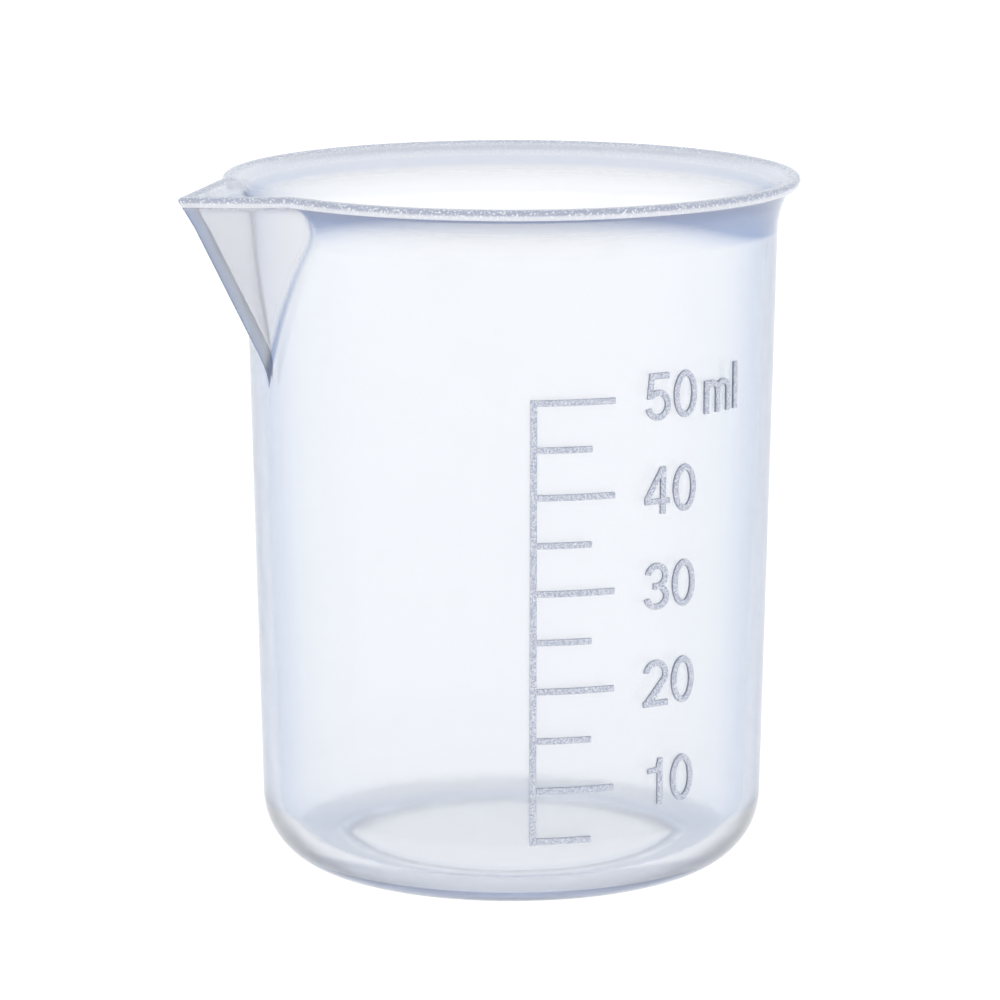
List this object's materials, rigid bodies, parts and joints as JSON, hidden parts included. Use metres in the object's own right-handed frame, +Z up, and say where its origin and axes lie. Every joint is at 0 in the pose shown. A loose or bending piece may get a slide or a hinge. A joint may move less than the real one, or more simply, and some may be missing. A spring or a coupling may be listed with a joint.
{
  "type": "beaker",
  "caption": "Low-form graduated plastic beaker with a flared rim, a sharp V pouring spout, a foot ring and a raised volume scale.",
  "frame": {"origin": "on the vessel's axis, in the plane that the foot ring stands on", "axes": "+Z up along the vessel's axis; the pouring spout points to -X; the graduated scale faces -Y"},
  "size_m": [0.053, 0.0474, 0.0575],
  "materials": {
    "polypropylene": "satin",
    "frosted_relief": "matte"
  },
  "bodies": {
    "root": {"beaker_body": "polypropylene", "scale_line": "frosted_relief", "mark_5_ml": "frosted_relief", "mark_10_ml": "frosted_relief", "mark_15_ml": "frosted_relief", "mark_20_ml": "frosted_relief", "mark_25_ml": "frosted_relief", "mark_30_ml": "frosted_relief", "mark_35_ml": "frosted_relief", "mark_40_ml": "frosted_relief", "mark_45_ml": "frosted_relief", "mark_50_ml": "frosted_relief", "numeral_10_tens": "frosted_relief", "numeral_10_units": "frosted_relief", "numeral_20_tens": "frosted_relief", "numeral_20_units": "frosted_relief", "numeral_30_tens": "frosted_relief", "numeral_30_units": "frosted_relief", "numeral_40_tens": "frosted_relief", "numeral_40_units": "frosted_relief", "numeral_50_tens": "frosted_relief", "numeral_50_units": "frosted_relief", "unit_m": "frosted_relief", "unit_l": "frosted_relief"}
  },
  "joints": []
}
